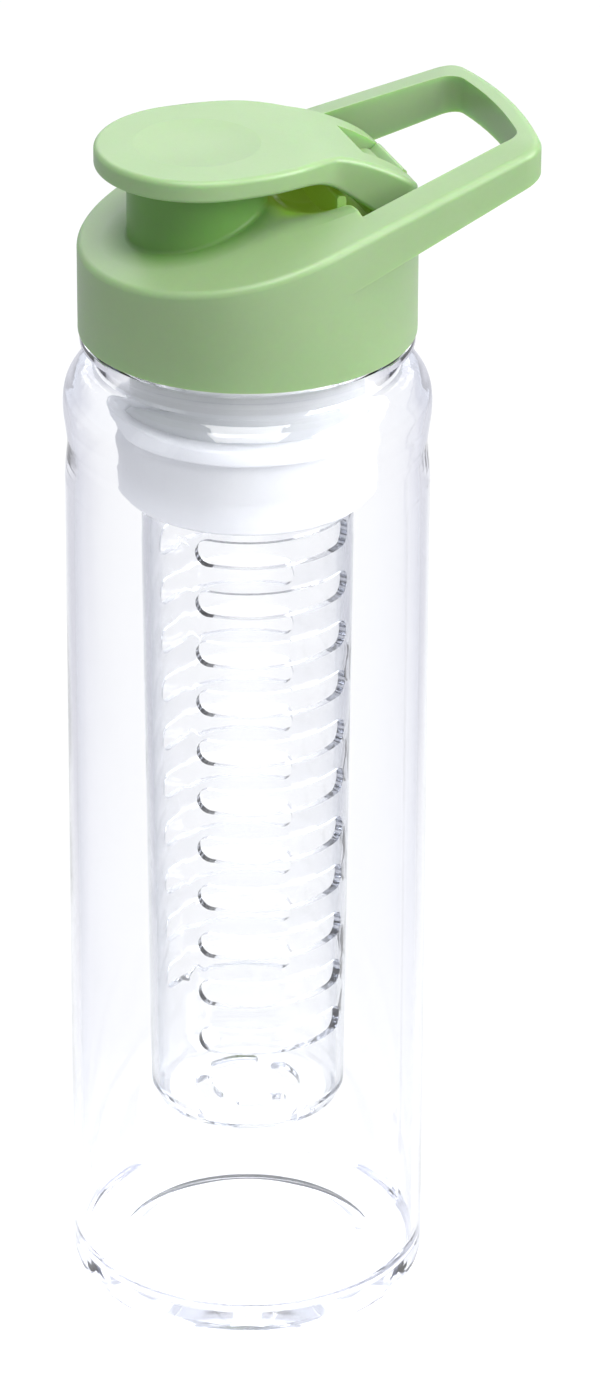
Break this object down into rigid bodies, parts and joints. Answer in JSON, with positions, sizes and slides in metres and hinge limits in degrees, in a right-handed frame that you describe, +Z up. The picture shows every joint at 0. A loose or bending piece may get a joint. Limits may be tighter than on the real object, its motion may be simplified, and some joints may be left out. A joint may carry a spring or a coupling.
{
  "type": "infuser water bottle",
  "caption": "Clear screw-top water bottle with a hinged spout cover, a carry loop and a removable slotted fruit infuser tube.",
  "frame": {"origin": "centre of the foot ring's face, on the bottle's axis", "axes": "+Z up along the bottle's axis, +X towards the carry loop, +Y along the hinge of the spout cover"},
  "size_m": [0.0921, 0.0734, 0.2542],
  "materials": {
    "clear_bottle": "gloss",
    "green_plastic": "satin",
    "pin_steel": "brushed",
    "silicone": "matte",
    "white_plastic": "satin",
    "clear_infuser": "gloss"
  },
  "bodies": {
    "bottle": {"bottle_body": "clear_bottle"},
    "neck_seal": {"neck_gasket": "silicone"},
    "lid": {"lid_cap": "green_plastic"},
    "spout_cover": {"flip_cap": "green_plastic", "spout_plug": "silicone", "hinge_pin": "pin_steel"},
    "infuser_seal": {"infuser_gasket": "silicone"},
    "infuser": {"infuser_collar": "white_plastic", "infuser_tube": "clear_infuser"}
  },
  "joints": [
    {"name": "lid_lift", "type": "slide", "parent": "bottle", "child": "neck_seal", "axis": [0, 0, 1], "range_m": [0, 0.0081]},
    {"name": "lid_turn", "type": "hinge", "parent": "neck_seal", "child": "lid", "pos_m": [0, 0, 0.22], "axis": [0, 0, 1], "range_deg": [0, 360]},
    {"name": "cover_hinge", "type": "hinge", "parent": "lid", "child": "spout_cover", "pos_m": [0.0266, 0, 0.2418], "axis": [0, 1, 0], "range_deg": [0, 115]},
    {"name": "infuser_drop", "type": "slide", "parent": "lid", "child": "infuser_seal", "axis": [0, 0, -1], "range_m": [0, 0.0054]},
    {"name": "infuser_turn", "type": "hinge", "parent": "infuser_seal", "child": "infuser", "pos_m": [0, 0, 0.2], "axis": [0, 0, -1], "range_deg": [0, 120]}
  ],
  "couplings": [
    {"joint": "lid_lift", "follows": "lid_turn", "m_per_rad": 0.0012732},
    {"joint": "infuser_drop", "follows": "infuser_turn", "m_per_rad": 0.0025465}
  ]
}
